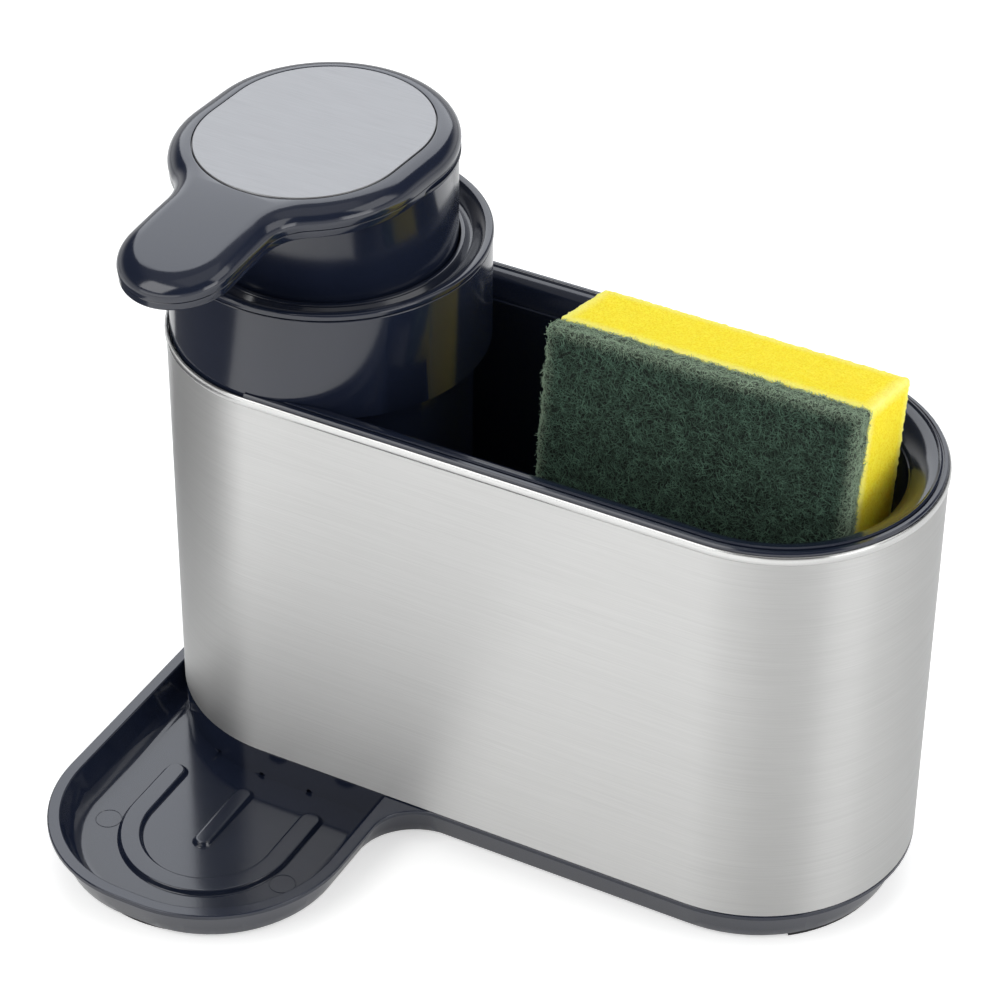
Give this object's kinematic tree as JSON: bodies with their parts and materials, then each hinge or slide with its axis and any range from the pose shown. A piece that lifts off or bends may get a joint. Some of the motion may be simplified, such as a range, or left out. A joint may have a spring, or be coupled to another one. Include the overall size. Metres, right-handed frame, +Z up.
{
  "type": "soap pump caddy",
  "caption": "Round-ended brushed steel caddy on a moulded base with a drip tray, holding a lift-out soap bottle with a press-down palm pump and a well with a two-layer sponge.",
  "frame": {"origin": "under the middle of the whole part's box, on the plane of the feet", "axes": "+X along the caddy towards the sponge's end, -Y towards the drip tray and the spout, +Z up"},
  "size_m": [0.229, 0.1644, 0.2],
  "materials": {
    "sleeve_steel": "brushed lengthwise",
    "disc_steel": "finely brushed",
    "dark_plastic": "satin gloss",
    "base_plastic": "satin gloss",
    "natural_plastic": "natural",
    "bright_steel": "polished",
    "screw_steel": "plated",
    "foot_rubber": "matte",
    "seal_rubber": "matte",
    "foam": "open-cell foam",
    "pad_fibre": "non-woven fibre"
  },
  "bodies": {
    "caddy": {"drip_tray_base": "base_plastic", "rubber_feet": "foot_rubber", "base_screws": "screw_steel", "steel_sleeve": "sleeve_steel", "liner": "dark_plastic"},
    "bottle": {"bottle": "dark_plastic"},
    "pump": {"refill_cap": "dark_plastic", "cap_seal": "seal_rubber", "pump_housing": "natural_plastic", "housing_gasket": "seal_rubber", "housing_nut": "natural_plastic", "stem_guide": "natural_plastic", "dip_tube": "natural_plastic", "return_spring": "bright_steel"},
    "inlet_valve": {"inlet_ball": "bright_steel"},
    "plunger": {"piston": "natural_plastic", "stem": "natural_plastic"},
    "outlet_valve": {"outlet_ball": "bright_steel"},
    "head": {"head_base": "dark_plastic", "head_cover": "dark_plastic", "steel_disc": "disc_steel", "outlet_channel": "natural_plastic", "spout_nozzle": "dark_plastic"},
    "sponge": {"sponge_foam": "foam", "scouring_pad": "pad_fibre"}
  },
  "joints": [
    {"name": "bottle_lift", "type": "slide", "parent": "caddy", "child": "bottle", "axis": [0, 0, 1], "range_m": [0, 0.15]},
    {"name": "cap_lift", "type": "slide", "parent": "bottle", "child": "pump", "axis": [0, 0, 1], "range_m": [0, 0.14]},
    {"name": "inlet_ball_lift", "type": "slide", "parent": "pump", "child": "inlet_valve", "axis": [0, 0, 1], "range_m": [0, 0.0015]},
    {"name": "pump_press", "type": "slide", "parent": "pump", "child": "plunger", "axis": [0, 0, -1], "range_m": [0, 0.014], "stiffness_N_per_m": 600, "springref_m": -0.006, "deforming": ["return_spring"]},
    {"name": "outlet_ball_lift", "type": "slide", "parent": "plunger", "child": "outlet_valve", "axis": [0, 0, 1], "range_m": [0, 0.0012]},
    {"name": "head_swivel", "type": "hinge", "parent": "plunger", "child": "head", "pos_m": [-0.068, 0.03575, 0.19], "axis": [0, 0, 1], "continuous": true},
    {"name": "sponge_lift", "type": "slide", "parent": "caddy", "child": "sponge", "axis": [0, 0, 1], "range_m": [0, 0.1]}
  ]
}
